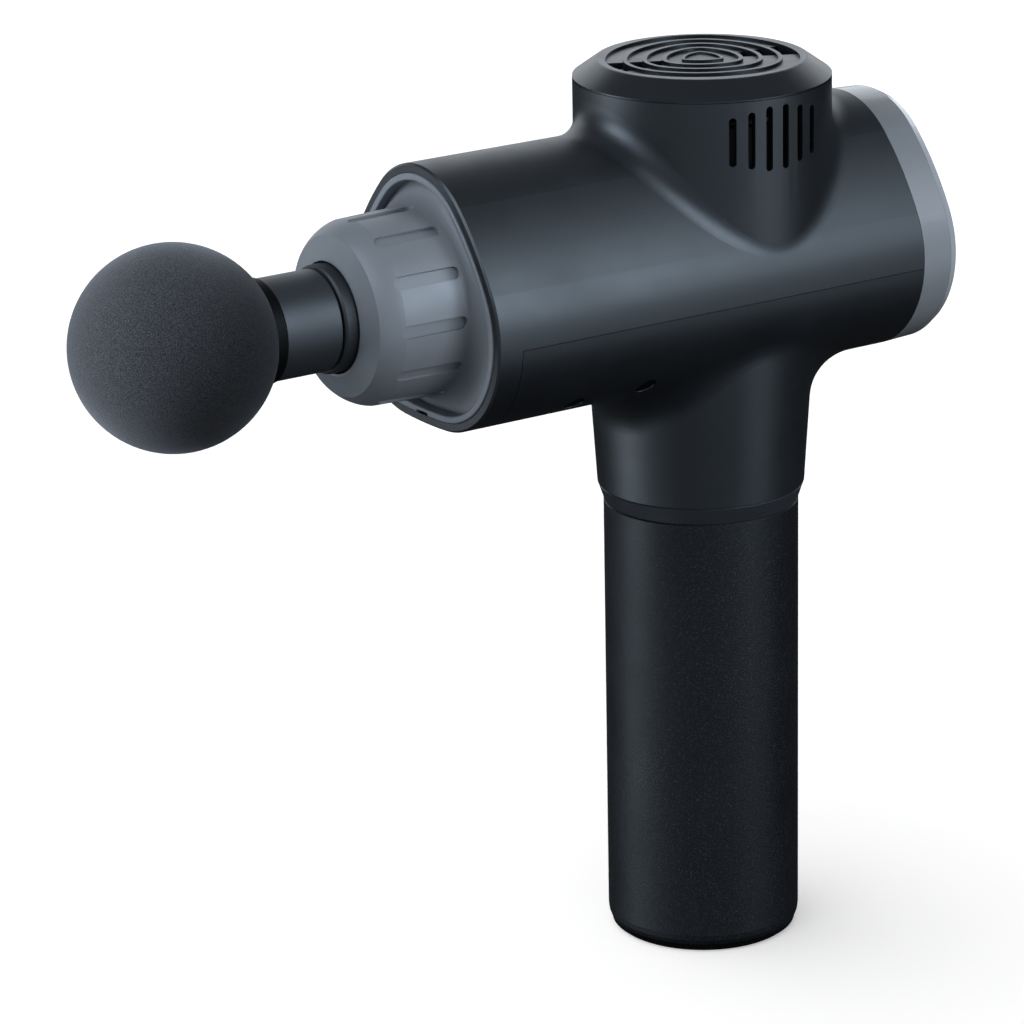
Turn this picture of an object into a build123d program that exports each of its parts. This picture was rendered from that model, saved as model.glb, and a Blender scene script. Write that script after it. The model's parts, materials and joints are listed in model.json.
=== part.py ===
from build123d import *
import math
import os

# A handheld percussion massager: an upright round grip that holds the battery, a barrel across
# its top with a rounded-triangle section, and a turret over the grip that holds the motor.
# The motor's shaft is upright. A crank below it drives a plunger along the barrel.
# Frame: millimetres, +Z up, +X towards the rear cover, origin at the middle of the grip's flat
# base. The massage head points along -X, and +Y is the side away from the front view.

# ---- driving dimensions ---------------------------------------------------------------------
AXIS_Z = 183.2          # height of the plunger's axis
GAP = 0.15              # assembly gap between covers
WALL = 2.2              # thickness of the moulded shells
SKIN = WALL / 2         # each half of a shell's wall, where two shells overlap in a lip

# grip
GRIP_R = 25.0
GRIP_WALL = 2.2
GRIP_TOP = 117.1
BASE_R = 23.1           # flat base that the massager stands on
BASE_H = 2.0            # part of the base cap that shows below the grip
TRIM_TOP = 121.7        # top of the trim ring
NECK_R = 26.5           # neck at the trim ring
NECK_SLOPE = 0.064      # growth of the neck's radius with height
NECK_FILLET = 13.0

# barrel section: a round top, two round lower corners, and long arcs tangent between them
TOP_R = 24.7
TOP_Z = 192.1
CORNER_R = 26.4
CORNER_Y = 7.9
CORNER_Z = 178.45
SIDE_R = 77.0
BOTTOM_R = 152.5
BARREL_FRONT = -83.5
BARREL_REAR = 45.0
SPLIT_Z = 176.8         # parting plane of the two shells
SPLIT_X = -76.6         # the lower shell starts here

# turret
TURRET_X = 1.1          # its axis stands a little behind the motor's
TURRET_R = 32.4
TURRET_TOP = 226.9      # seam between turret and vent cap
CAP_TOP = 231.7
CAP_R = 26.4            # flat top of the cap
TURRET_FILLET = 7.5
SIDE_SLOTS = 6
SLOT_PITCH = 8.6        # degrees
SLOT_TURN = 91.2        # degrees from the rear to the middle of each row
SLOT_W = 1.9
SLOT_LONGEST = 17.2
SLOT_SHORTENING = 2.0   # per slot away from the middle of the row
SLOT_MID_Z = 217.1

# grille on the cap: ribs that follow a Reuleaux triangle, offset outwards in equal steps
GRILLE_CORNER = 4.9
GRILLE_FIRST = 0.4
GRILLE_STEP = 4.9
GRILLE_RIBS = 4
RIB_W = 1.1
GROOVE_DEPTH = 0.7
GRILLE_FLOOR = 1.6
VENT_HALF_ANGLE = 13.0
VENT_TURN = -13.0
SPIGOT_H = 1.0          # height of the cap's locating rim, clear of the side slots

# nose
NOSE_FRONT = -109.5
NOSE_R = 23.3           # where the barrel's bezel flares out
NOSE_HOLE_R = 13.8
NOSE_RIM = (1.9, 19.8)  # outer edge of the shallow front cone: distance behind the front, radius
NOSE_SHOULDER = (7.4, 22.85)
NOSE_BORE_R = 19.6      # hollow behind the front wall
FLUTES = 12
FLUTE_X = (-103.2, -85.2)
FLUTE_W = 3.2
FLUTE_DEPTH = 1.0
BEZEL_FRONT = -84.0
BEZEL_FLOOR = -80.5
BEZEL_BACK = -78.9
BEZEL_LIP = 1.8
FLARE_R = 6.5

# plunger, connecting rod and crank
STROKE = 12.0
CRANK_R = STROKE / 2
ROD_LENGTH = 52.0
WRIST_X = -CRANK_R - ROD_LENGTH
PLUNGER_R = 13.3
PLUNGER_FRONT = -112.8
PLUNGER_REAR = WRIST_X + 6.0
SOCKET_R = 10.1
SOCKET_DEPTH = 25.0
RUNNING = 0.05          # radial clearance of a running fit
PIVOT_GAP = 0.3         # the open pivot: crank pin to big end
ROD_T = 5.0
WRIST_R = 3.0
CRANK_PIN_R = 4.0
CRANK_SPIGOT_R = 2.4

# motor
SHAFT_R = 3.0
CRANK_DISC_Z = (188.4, 192.4)
BRACKET_Z = (194.0, 198.0)
BRACKET_R = 29.0
HUB_R = 8.0
BEARING_R = 6.5
STATOR_Z = (202.0, 212.5)
STATOR_R = 21.9
STATOR_TEETH = 12
MAGNETS = 14
MAGNET_R = (22.5, 23.9)
BELL_R = 25.4
BELL_Z = (201.0, 219.0)
FAN_Z = (220.0, 225.0)
FAN_R = 26.5
FAN_BLADES = 11

# massage head
BALL_X = -152.5
BALL_R = 24.9
STEM_R = 12.5

# rear
RING_REAR = 54.0
COVER_REAR = 56.6
RING_TAPER = 0.4
COVER_EDGE = 1.7
PANEL_INSET = 9.0
BUTTON_R = 8.0
BUTTON_TRAVEL = 0.8
LIGHTS = 5

# battery
CELL_R = 9.2
CELL_L = 65.0
CELL_Z = 17.0
CELL_RING = 10.8        # distance of each cell's axis from the grip's axis

SCREW_SPOTS = [(x, side * y) for x, y in ((-55.0, 23.4), (-34.5, 24.6)) for side in (-1, 1)]
PLUG_R = 2.6
PLUG_RECESS = 0.25
BOSS_R = 4.0
SCREW_R = 1.45
HEAD_R = 2.5
HEAD_H = 2.2
HEAD_Z = 161.2          # underside screws: outer face of the head
SCREW_TOP = 188.0
LIP = 1.6               # overlap of the two shells behind their seam
RIM_CHAMFER = 0.5

# plunger guide
FLANGE_X = (-78.7, -75.7)
SLEEVE_X = (-101.5, -61.0)
SLEEVE_R = 19.0
BUSH_R = 16.0
GUIDE_SCREWS = [(y, z) for y in (-21.5, 21.5) for z in (-12.0, 8.0)]
KEY_Y = (-2.5, 2.5)     # notch in the bezel's lip that keys it to the shell
KEY_Z = 155.1
LINER_T = 1.0
STEM_BACK = BALL_X + 21.0
O_RING_X = (-108.0, -94.0)
BIG_EYE_R = 10.5
BIG_BEARING_R = 8.0
SMALL_EYE_R = 7.0
SMALL_BUSH_R = 4.5

# motor mounting
BRACKET_SCREWS = [(x, y) for x in (-15.6, 15.6) for y in (-21.5, 21.5)]
DAMPER_T = 2.0
LEDGE_H = 8.0

# rear electronics
BOARD_X = 45.5
LIGHT_W = 2.6
LIGHT_H = 1.6
LIGHT_PITCH = 5.0
LIGHT_RISE = 14.5
DISH_R = 40.0
REAR_SCREWS = [(y, z) for y in (-15.0, 15.0) for z in (AXIS_Z - 12.0, AXIS_Z + 8.0)]

# charging socket, clear of the middle of the base
JACK_X = 11.0
JACK_BORE = 2.85
JACK_OUTER = 5.2

BOTTOM = (Align.CENTER, Align.CENTER, Align.MIN)


# ---- helpers --------------------------------------------------------------------------------
def cyl(radius, z0, z1, x=0.0, y=0.0):
    return Pos(x, y, z0) * Cylinder(radius, z1 - z0, align=BOTTOM)


def tube(outer, inner, z0, z1, x=0.0, y=0.0):
    return cyl(outer, z0, z1, x, y) - cyl(inner, z0 - 1, z1 + 1, x, y)


def xcyl(radius, x0, x1, y=0.0, z=AXIS_Z):
    return Pos(x0, y, z) * Rot(0, 90, 0) * Cylinder(radius, x1 - x0, align=BOTTOM)


def xtube(outer, inner, x0, x1, y=0.0, z=AXIS_Z):
    return xcyl(outer, x0, x1, y, z) - xcyl(inner, x0 - 1, x1 + 1, y, z)


def box(x0, x1, y0, y1, z0, z1):
    size = Box(x1 - x0, y1 - y0, z1 - z0, align=(Align.MIN, Align.MIN, Align.MIN))
    return Pos(x0, y0, z0) * size


def revolve_z(points):
    face = make_face(Polyline(*[(r, 0, z) for r, z in points], close=True))
    return revolve(face, Axis.Z, 360)


def revolve_x(edges):
    return revolve(make_face(edges), Axis((0, 0, AXIS_Z), (1, 0, 0)), 360)


def xr(x, r):
    return (x, 0, AXIS_Z + r)


def ring_of(count, radius, start=0.0):
    for i in range(count):
        angle = math.radians(start) + 2 * math.pi * i / count
        yield radius * math.cos(angle), radius * math.sin(angle)


def group(solids):
    return Compound(children=[s for part in solids for s in part.solids()])


# ---- barrel section -------------------------------------------------------------------------
def tangent_centre(c1, r1, c2, r2, big_r):
    """Centre of the circle of radius big_r that encloses two circles and touches both."""
    d1 = big_r - r1
    d2 = big_r - r2
    dy = c2[0] - c1[0]
    dz = c2[1] - c1[1]
    length = math.hypot(dy, dz)
    along = (d1 * d1 - d2 * d2 + length * length) / (2 * length)
    across = math.sqrt(d1 * d1 - along * along)
    return (c1[0] + along * dy / length + across * dz / length,
            c1[1] + along * dz / length - across * dy / length)


def section_edges(x, offset):
    """The section's closed outline at x, grown by offset (negative shrinks it)."""
    top = (0.0, TOP_Z)
    corner = (CORNER_Y, CORNER_Z)
    side = tangent_centre(top, TOP_R, corner, CORNER_R, SIDE_R)
    if side[0] > 0:
        side = tangent_centre(corner, CORNER_R, top, TOP_R, SIDE_R)
    rise = math.sqrt((BOTTOM_R - CORNER_R) ** 2 - CORNER_Y ** 2)
    base = (0.0, CORNER_Z + rise)

    def bearing(start, end):
        return math.atan2(end[1] - start[1], end[0] - start[0])

    a_top = bearing(side, top)
    a_low = bearing(side, corner)
    a_base = bearing(base, corner)

    def arc(centre, radius, a0, a1, mirror=1):
        points = []
        for a in (a0, (a0 + a1) / 2, a1):
            points.append((x, mirror * (centre[0] + radius * math.cos(a)),
                           centre[1] + radius * math.sin(a)))
        return ThreePointArc(*points)

    edges = [arc(top, TOP_R + offset, math.pi - a_top, a_top)]
    for mirror in (1, -1):
        edges.append(arc(side, SIDE_R + offset, a_top, a_low, mirror))
        edges.append(arc(corner, CORNER_R + offset, a_low, a_base, mirror))
    edges.append(arc(base, BOTTOM_R + offset, a_base, -math.pi - a_base))
    return edges


def section(x, offset=0.0):
    return make_face(section_edges(x, offset))


def prism(x0, x1, offset=0.0):
    return extrude(section(x0, offset), amount=x1 - x0, dir=(1, 0, 0))


def tapered(x0, x1, offset0, offset1):
    return loft([section(x0, offset0), section(x1, offset1)], ruled=True)


# ---- shells ---------------------------------------------------------------------------------
def neck_radius(z):
    return NECK_R + NECK_SLOPE * (z - TRIM_TOP)


def on_neck(x, y, z):
    return z < AXIS_Z and abs(math.hypot(x, y) - neck_radius(z)) < 0.05


def on_turret(x, y, z):
    return z < TURRET_TOP - 1 and abs(math.hypot(x - TURRET_X, y) - TURRET_R) < 0.05


def seam_edges(solid, test):
    """Curved joins of the solid whose points all lie on the surface that test describes."""
    found = []
    for edge in solid.edges().filter_by(GeomType.BSPLINE):
        points = [edge.position_at(t) for t in (0.1, 0.35, 0.6, 0.9)]
        if all(test(p.X, p.Y, p.Z) for p in points):
            found.append(edge)
    return found


def body(offset):
    """Barrel, turret and neck as one solid, with every surface moved in by offset."""
    core = prism(BARREL_FRONT, BARREL_REAR, -offset)
    turret = cyl(TURRET_R - offset, AXIS_Z - 8, TURRET_TOP, TURRET_X)
    neck_z = TRIM_TOP + GAP
    neck_top = CORNER_Z
    neck = revolve_z([(0, neck_z), (neck_radius(neck_z) - offset, neck_z),
                      (neck_radius(neck_top) - offset, neck_top), (0, neck_top)])
    return core + turret + neck


def outer_body():
    solid = body(0)
    solid = fillet(seam_edges(solid, on_neck), NECK_FILLET)
    solid = fillet(seam_edges(solid, on_turret), TURRET_FILLET)
    return solid


def lower_region(reach):
    """The lower shell's share of the barrel, grown forwards and upwards by reach."""
    return box(SPLIT_X - reach, BARREL_REAR + 1, -60, 60, TRIM_TOP - 5, SPLIT_Z + reach)


def side_slots():
    """Cutters for the vertical vents on both sides of the turret; the middle ones are longest."""
    cutters = []
    for side in (-SLOT_TURN, SLOT_TURN):
        for i in range(SIDE_SLOTS):
            step = i - (SIDE_SLOTS - 1) / 2
            length = SLOT_LONGEST - SLOT_SHORTENING * abs(step)
            straight = length - SLOT_W
            angle = side + step * SLOT_PITCH
            slot = Box(12, SLOT_W, straight)
            slot += Pos(0, 0, straight / 2) * Rot(0, 90, 0) * Cylinder(SLOT_W / 2, 12)
            slot += Pos(0, 0, -straight / 2) * Rot(0, 90, 0) * Cylinder(SLOT_W / 2, 12)
            cutters.append(Pos(TURRET_X, 0, 0) * Rot(0, 0, angle) * Pos(TURRET_R, 0, SLOT_MID_Z) * slot)
    return cutters


def shells():
    """Upper shell and lower cover. The lower cover's inner skin makes a lip behind the seam."""
    outer = outer_body()
    front = outer.faces().sort_by(Axis.X)[0]
    outer = chamfer(front.edges(), RIM_CHAMFER)
    middle = body(SKIN)
    inner = body(WALL)
    outer_skin = outer - middle
    inner_skin = middle - inner
    low = outer_skin & lower_region(0)
    low += inner_skin & lower_region(LIP)
    high = outer_skin - lower_region(GAP)
    high += inner_skin - lower_region(LIP + GAP)
    for x, y in SCREW_SPOTS:
        low += cyl(BOSS_R, HEAD_Z - 8, SPLIT_Z, x, y) & outer
        low -= cyl(PLUG_R, HEAD_Z - 12, HEAD_Z + HEAD_H, x, y)
        low -= cyl(SCREW_R + GAP, HEAD_Z, SPLIT_Z + 1, x, y)
        high += (cyl(BOSS_R, SPLIT_Z + GAP, AXIS_Z + 20, x, y) & outer) - lower_region(GAP)
        high -= cyl(SCREW_R + RUNNING, SPLIT_Z - 1, SCREW_TOP + 1, x, y)
    for slot in side_slots():
        high -= slot
    for ledge in bracket_ledges(outer):
        high += ledge
    return high, low


def screw_plugs():
    inside = prism(-70, -20, -PLUG_RECESS)
    spots = [cyl(PLUG_R - RUNNING, HEAD_Z - 12, HEAD_Z - RUNNING, x, y) & inside
             for x, y in SCREW_SPOTS]
    return group(spots)


def screw(x, y, z_head, z_tip, direction=1):
    """Pan-head screw along Z with a cross recess; direction 1 points its tip upwards."""
    low = min(z_head, z_tip)
    high = max(z_head, z_tip)
    shank = cyl(SCREW_R, low, high, x, y)
    if direction > 0:
        head = cyl(HEAD_R, z_head, z_head + HEAD_H, x, y)
        slot_z = z_head - 0.01
    else:
        head = cyl(HEAD_R, z_head - HEAD_H, z_head, x, y)
        slot_z = z_head - HEAD_H / 2 + 0.01
    cross = box(x - 1.6, x + 1.6, y - 0.3, y + 0.3, slot_z, slot_z + HEAD_H / 2)
    cross += box(x - 0.3, x + 0.3, y - 1.6, y + 1.6, slot_z, slot_z + HEAD_H / 2)
    return shank + head - cross


def housing_screws():
    return group([screw(x, y, HEAD_Z, SCREW_TOP) for x, y in SCREW_SPOTS])


# ---- turret cap -----------------------------------------------------------------------------
def grille_curve(growth, z):
    """A Reuleaux triangle about the turret's axis, one corner towards the nose, grown by growth."""
    corners = [(GRILLE_CORNER * math.cos(math.radians(a)), GRILLE_CORNER * math.sin(math.radians(a)), a)
               for a in (180, 300, 60)]
    side_r = GRILLE_CORNER * math.sqrt(3) + growth
    edges = []
    for radius, turn in ((growth, 0), (side_r, 180)):
        for cx, cy, a in corners:
            points = []
            for step in (-30, 0, 30):
                b = math.radians(a + turn + step)
                points.append((cx + radius * math.cos(b), cy + radius * math.sin(b), z))
            edges.append(ThreePointArc(*points))
    return make_face(edges)


def grille_block(growth, z0, z1):
    return extrude(grille_curve(growth, z0), amount=z1 - z0, dir=(0, 0, 1))


def vent_sector(z0, z1):
    """Two opposite wedges, where the grooves open right through."""
    reach = 40
    half = math.radians(VENT_HALF_ANGLE)
    wedges = []
    for side in (1, -1):
        tip = (side * reach * math.cos(half), reach * math.sin(half))
        low = (side * reach * math.cos(half), -reach * math.sin(half))
        face = make_face(Polyline((0, 0, z0), (*tip, z0), (*low, z0), close=True))
        wedges.append(Rot(0, 0, VENT_TURN) * extrude(face, amount=z1 - z0, dir=(0, 0, 1)))
    return wedges


def vent_cap():
    under = CAP_TOP - GROOVE_DEPTH - GRILLE_FLOOR
    seat = TURRET_TOP + GAP
    spigot_r = TURRET_R - WALL - GAP
    cap = revolve_z([(0, CAP_TOP), (CAP_R, CAP_TOP), (TURRET_R, seat + 0.4), (TURRET_R, seat),
                     (spigot_r, seat), (spigot_r, seat - SPIGOT_H), (spigot_r - 1.6, seat - SPIGOT_H),
                     (spigot_r - 1.6, seat), (CAP_R - 1.5, under), (0, under)])
    shoulder = [e for e in cap.edges().filter_by(GeomType.CIRCLE)
                if abs(e.radius - CAP_R) < 0.01 and e.center().Z > CAP_TOP - 0.1]
    cap = fillet(shoulder, 1.2)
    floor = CAP_TOP - GROOVE_DEPTH
    for k in range(GRILLE_RIBS):
        growth = GRILLE_FIRST + GRILLE_STEP * k + RIB_W / 2
        wide = GRILLE_FIRST + GRILLE_STEP * (k + 1) - (RIB_W / 2 if k < GRILLE_RIBS - 1 else 0)
        groove = grille_block(wide, floor, CAP_TOP + 1) - grille_block(growth, floor - 1, CAP_TOP + 2)
        cap -= groove
        if k > 0:
            opening = grille_block(wide, under - 1, CAP_TOP + 1)
            opening -= grille_block(growth, under - 2, CAP_TOP + 2)
            for wedge in vent_sector(under - 1, CAP_TOP + 1):
                cap -= opening & wedge
    dish = grille_block(GRILLE_FIRST - 0.2, CAP_TOP - 0.5, CAP_TOP + 1)
    return Pos(TURRET_X, 0, 0) * (cap - dish)


# ---- nose -----------------------------------------------------------------------------------
def nose_collar():
    rim_x = NOSE_FRONT + NOSE_RIM[0]
    shoulder_x = NOSE_FRONT + NOSE_SHOULDER[0]
    bulge = ((rim_x + shoulder_x) / 2 - 0.2, (NOSE_RIM[1] + NOSE_SHOULDER[1]) / 2 + 0.4)
    flare_x = BEZEL_FLOOR - FLARE_R
    diagonal = FLARE_R * math.sqrt(0.5)
    bore_x = NOSE_FRONT + 4.0
    outline = [
        Line(xr(NOSE_FRONT, NOSE_HOLE_R), xr(NOSE_FRONT, NOSE_HOLE_R + 0.6)),
        Line(xr(NOSE_FRONT, NOSE_HOLE_R + 0.6), xr(rim_x, NOSE_RIM[1])),
        ThreePointArc(xr(rim_x, NOSE_RIM[1]), xr(*bulge), xr(shoulder_x, NOSE_SHOULDER[1])),
        Line(xr(shoulder_x, NOSE_SHOULDER[1]), xr(flare_x, NOSE_R)),
        ThreePointArc(xr(flare_x, NOSE_R),
                      xr(flare_x + diagonal, NOSE_R + FLARE_R - diagonal),
                      xr(BEZEL_FLOOR, NOSE_R + FLARE_R)),
        Polyline(xr(BEZEL_FLOOR, NOSE_R + FLARE_R), xr(BEZEL_BACK, NOSE_R + FLARE_R),
                 xr(BEZEL_BACK, NOSE_BORE_R), xr(bore_x, NOSE_BORE_R), xr(bore_x, NOSE_HOLE_R),
                 xr(NOSE_FRONT, NOSE_HOLE_R)),
    ]
    inset = -WALL - GAP
    nose = revolve_x(outline) & prism(NOSE_FRONT - 1, BEZEL_BACK, inset - BEZEL_LIP + 0.4)
    plate = prism(BEZEL_FLOOR, BEZEL_BACK, inset) - xcyl(NOSE_BORE_R, BEZEL_FLOOR - 1, BEZEL_BACK + 1)
    lip = prism(BEZEL_FRONT, BEZEL_FLOOR + 0.5, inset)
    lip -= prism(BEZEL_FRONT - 1, BEZEL_FLOOR + 1, inset - BEZEL_LIP)
    rim = lip.faces().sort_by(Axis.X)[0]
    lip = fillet(rim.edges(), 0.45)
    collar = nose + plate + lip
    straight = FLUTE_X[1] - FLUTE_X[0] - FLUTE_W
    middle = (FLUTE_X[0] + FLUTE_X[1]) / 2
    cutter = Box(straight, FLUTE_W, 4)
    for end in (-1, 1):
        cutter += Pos(end * straight / 2, 0, 0) * Cylinder(FLUTE_W / 2, 4)
    for i in range(FLUTES):
        place = Pos(middle, 0, AXIS_Z) * Rot(i * 360 / FLUTES, 0, 0)
        collar -= place * Pos(0, 0, NOSE_R - FLUTE_DEPTH + 2) * cutter
    key = box(BEZEL_FRONT - 1, BEZEL_FRONT + 1.6, *KEY_Y, AXIS_Z - 40, KEY_Z)
    return collar - key


def guide_housing():
    """Carrier plate across the barrel with the sleeve that holds the plunger's bushes."""
    flange = prism(FLANGE_X[0], FLANGE_X[1], -WALL - GAP)
    sleeve = xcyl(SLEEVE_R, SLEEVE_X[0], SLEEVE_X[1])
    housing = flange + sleeve - xcyl(BUSH_R, SLEEVE_X[0] - 1, SLEEVE_X[1] + 1)
    for angle in (45, 135, 225, 315):
        y = SLEEVE_R * math.cos(math.radians(angle))
        z = SLEEVE_R * math.sin(math.radians(angle))
        rib = Rot(angle - 90, 0, 0) * Box(10, 2.4, 6)
        housing += Pos(FLANGE_X[1] + 5, y * 1.1, AXIS_Z + z * 1.1) * rib
    for y, z in GUIDE_SCREWS:
        housing -= xcyl(SCREW_R + RUNNING, FLANGE_X[0] - 1, FLANGE_X[1] + 1, y, AXIS_Z + z)
    return housing - xcyl(BUSH_R, SLEEVE_X[0] - 1, SLEEVE_X[1] + 1)


def guide_screws():
    """Screws from behind the carrier plate into the bezel."""
    parts = []
    for y, z in GUIDE_SCREWS:
        shank = xcyl(SCREW_R, FLANGE_X[0] + 0.1, FLANGE_X[1], y, AXIS_Z + z)
        head = xcyl(HEAD_R, FLANGE_X[1], FLANGE_X[1] + HEAD_H, y, AXIS_Z + z)
        slot = box(FLANGE_X[1] + HEAD_H / 2, FLANGE_X[1] + HEAD_H + 1, y - 1.8, y + 1.8,
                   AXIS_Z + z - 0.35, AXIS_Z + z + 0.35)
        parts.append(shank + head - slot)
    return group(parts)


def bush(x0, x1):
    return xtube(BUSH_R, PLUNGER_R + RUNNING, x0, x1)


def wiper_seal():
    seal = xtube(NOSE_BORE_R - RUNNING, PLUNGER_R + 1.2, NOSE_FRONT + 4.1, NOSE_FRONT + 7.0)
    lip = xtube(PLUNGER_R + 1.3, PLUNGER_R + RUNNING, NOSE_FRONT + 5.0, NOSE_FRONT + 6.2)
    return seal + lip


# ---- plunger, rod and head ------------------------------------------------------------------
def plunger():
    slot_half = ROD_T / 2 + PIVOT_GAP
    solid = xcyl(PLUNGER_R, PLUNGER_FRONT, PLUNGER_REAR)
    solid = chamfer(solid.edges().filter_by(GeomType.CIRCLE), 0.5)
    solid -= xcyl(SOCKET_R + LINER_T, PLUNGER_FRONT + 1.5, PLUNGER_FRONT + SOCKET_DEPTH)
    solid -= xcyl(SOCKET_R + RUNNING, PLUNGER_FRONT - 1, PLUNGER_FRONT + 2)
    solid -= xcyl(9.0, PLUNGER_FRONT + SOCKET_DEPTH + 3, WRIST_X - 10)
    solid -= box(WRIST_X - 8.0, PLUNGER_REAR + 1, -20, 20, AXIS_Z - slot_half, AXIS_Z + slot_half)
    return solid - cyl(WRIST_R, AXIS_Z - 20, AXIS_Z + 20, WRIST_X)


def socket_liner():
    return xtube(SOCKET_R + LINER_T, SOCKET_R + RUNNING, PLUNGER_FRONT + 1.5,
                 PLUNGER_FRONT + SOCKET_DEPTH)


def wrist_pin():
    reach = 11.4
    pin = cyl(WRIST_R, AXIS_Z - reach, AXIS_Z + reach, WRIST_X)
    return chamfer(pin.edges().filter_by(GeomType.CIRCLE), 0.4)


def connecting_rod():
    low = AXIS_Z - ROD_T / 2
    high = AXIS_Z + ROD_T / 2
    rod = cyl(BIG_EYE_R, low, high, -CRANK_R) + cyl(SMALL_EYE_R, low, high, WRIST_X)
    rod += box(WRIST_X, -CRANK_R, -4.0, 4.0, low, high)
    for z0, z1 in ((low - 1, low + 1.2), (high - 1.2, high + 1)):
        rod -= box(WRIST_X + 9, -CRANK_R - 12, -2.4, 2.4, z0, z1)
    rod -= cyl(BIG_BEARING_R, low - 1, high + 1, -CRANK_R)
    return rod - cyl(SMALL_BUSH_R, low - 1, high + 1, WRIST_X)


def bearing(outer, inner, z0, z1, x=0.0, y=0.0):
    """Ball bearing as one solid: two races joined by a recessed cage."""
    race = (outer - inner) * 0.28
    rings = tube(outer, outer - race, z0, z1, x, y) + tube(inner + race, inner, z0, z1, x, y)
    return rings + tube(outer - race / 2, inner + race / 2, z0 + 0.5, z1 - 0.5, x, y)


def big_end_bearing():
    return bearing(BIG_BEARING_R, CRANK_PIN_R + RUNNING, AXIS_Z - ROD_T / 2, AXIS_Z + ROD_T / 2, -CRANK_R)


def small_end_bush():
    return tube(SMALL_BUSH_R, WRIST_R + RUNNING, AXIS_Z - ROD_T / 2, AXIS_Z + ROD_T / 2, WRIST_X)


def head_stem():
    """Hollow stem: the wide part shows, the spigot sits in the plunger's socket."""
    spigot_end = PLUNGER_FRONT + SOCKET_DEPTH - 1.0
    shoulder = PLUNGER_FRONT - PIVOT_GAP
    stem = xcyl(STEM_R, STEM_BACK, shoulder)
    stem = chamfer(stem.edges().filter_by(GeomType.CIRCLE).sort_by(Axis.X)[-1], 0.4)
    stem += xcyl(SOCKET_R - 0.03, shoulder - 1, spigot_end)
    for x in O_RING_X:
        stem -= xtube(SOCKET_R + 1, SOCKET_R - 1.4, x, x + 2.0)
    return stem - xcyl(SOCKET_R - 3.2, STEM_BACK + 6, spigot_end + 1)


def stem_o_rings():
    return group([xtube(SOCKET_R - 0.02, SOCKET_R - 1.4, x, x + 2.0) for x in O_RING_X])


def ball_core():
    """Hard core that the foam is moulded on: a sphere and a flange where the stem leaves."""
    core = Pos(BALL_X, 0, AXIS_Z) * Sphere(11.0)
    core += xcyl(8.0, BALL_X, STEM_BACK)
    return core + xcyl(STEM_R - 1.5, STEM_BACK - 3.0, STEM_BACK)


def massage_ball():
    ball = Pos(BALL_X, 0, AXIS_Z) * Sphere(BALL_R)
    ball -= Pos(BALL_X, 0, AXIS_Z) * Sphere(11.0)
    ball -= xcyl(8.0, BALL_X, BALL_X + BALL_R + 1)
    return ball - xcyl(STEM_R + 0.5, STEM_BACK - 3.0, BALL_X + BALL_R + 1)


# ---- motor and crank ------------------------------------------------------------------------
def motor_bracket():
    low, high = BRACKET_Z
    plate = cyl(BRACKET_R, low, high)
    for x, y in ring_of(6, 18.0, 30):
        plate -= cyl(5.0, low - 1, high + 1, x, y)
    hub = cyl(HUB_R, low, STATOR_Z[1] + 1.5)
    bracket = plate + hub
    for x, y in BRACKET_SCREWS:
        bracket -= cyl(SCREW_R + 0.7, low - 1, high + 1, x, y)
    bracket -= cyl(BEARING_R, low - 1, low + 6.0)
    bracket -= cyl(BEARING_R, STATOR_Z[1] - 3.5, STATOR_Z[1] + 3)
    return bracket - cyl(SHAFT_R + 1.2, low - 1, high + 20)


def bracket_ledges(outer):
    """Ledges that reach in from the shell's sides and carry the motor bracket."""
    low = BRACKET_Z[0] - DAMPER_T - LEDGE_H
    high = BRACKET_Z[0] - DAMPER_T
    ledges = []
    for x, y in BRACKET_SCREWS:
        reach = math.copysign(40, y)
        arm = box(x - BOSS_R, x + BOSS_R, min(y, reach), max(y, reach), low, high)
        ledge = (cyl(BOSS_R, low, high, x, y) + arm) & outer
        ledges.append(ledge - cyl(SCREW_R + RUNNING, low - 1, high + 1, x, y))
    return ledges


def motor_dampers():
    return group([tube(BOSS_R, SCREW_R + 0.1, BRACKET_Z[0] - DAMPER_T, BRACKET_Z[0], x, y)
                  for x, y in BRACKET_SCREWS])


def bracket_screws():
    top = BRACKET_Z[1]
    return group([screw(x, y, top + HEAD_H, BRACKET_Z[0] - 9, -1) for x, y in BRACKET_SCREWS])


def stator_core():
    z0, z1 = STATOR_Z
    core = tube(12.0, HUB_R, z0, z1)
    shoe = tube(STATOR_R, STATOR_R - 1.6, z0, z1)
    gap_angle = 360 / STATOR_TEETH
    for i in range(STATOR_TEETH):
        core += Rot(0, 0, i * gap_angle) * box(11.0, STATOR_R - 0.8, -1.4, 1.4, z0, z1)
        gap = box(STATOR_R - 3, STATOR_R + 1, -1.0, 1.0, z0 - 1, z1 + 1)
        shoe -= Rot(0, 0, (i + 0.5) * gap_angle) * gap
    return core + shoe


def stator_windings():
    z0, z1 = STATOR_Z
    coils = []
    for i in range(STATOR_TEETH):
        coil = box(12.8, STATOR_R - 1.9, -2.5, 2.5, z0 - 1.1, z1 + 1.1)
        coil = fillet(coil.edges().filter_by(Axis.X), 0.9)
        coil -= box(11.0, STATOR_R, -1.42, 1.42, z0 - 0.02, z1 + 0.02)
        coils.append(Rot(0, 0, i * 360 / STATOR_TEETH) * coil)
    return group(coils)


def rotor_bell():
    z0, z1 = BELL_Z
    bell = tube(BELL_R, MAGNET_R[1], z0, z1)
    bell += cyl(BELL_R, z1 - 1.6, z1)
    bell += cyl(6.0, z1 - 4.0, z1)
    for x, y in ring_of(7, 15.5):
        bell -= cyl(4.4, z1 - 3, z1 + 1, x, y)
    return bell - cyl(SHAFT_R, z1 - 10, z1 + 1)


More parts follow.
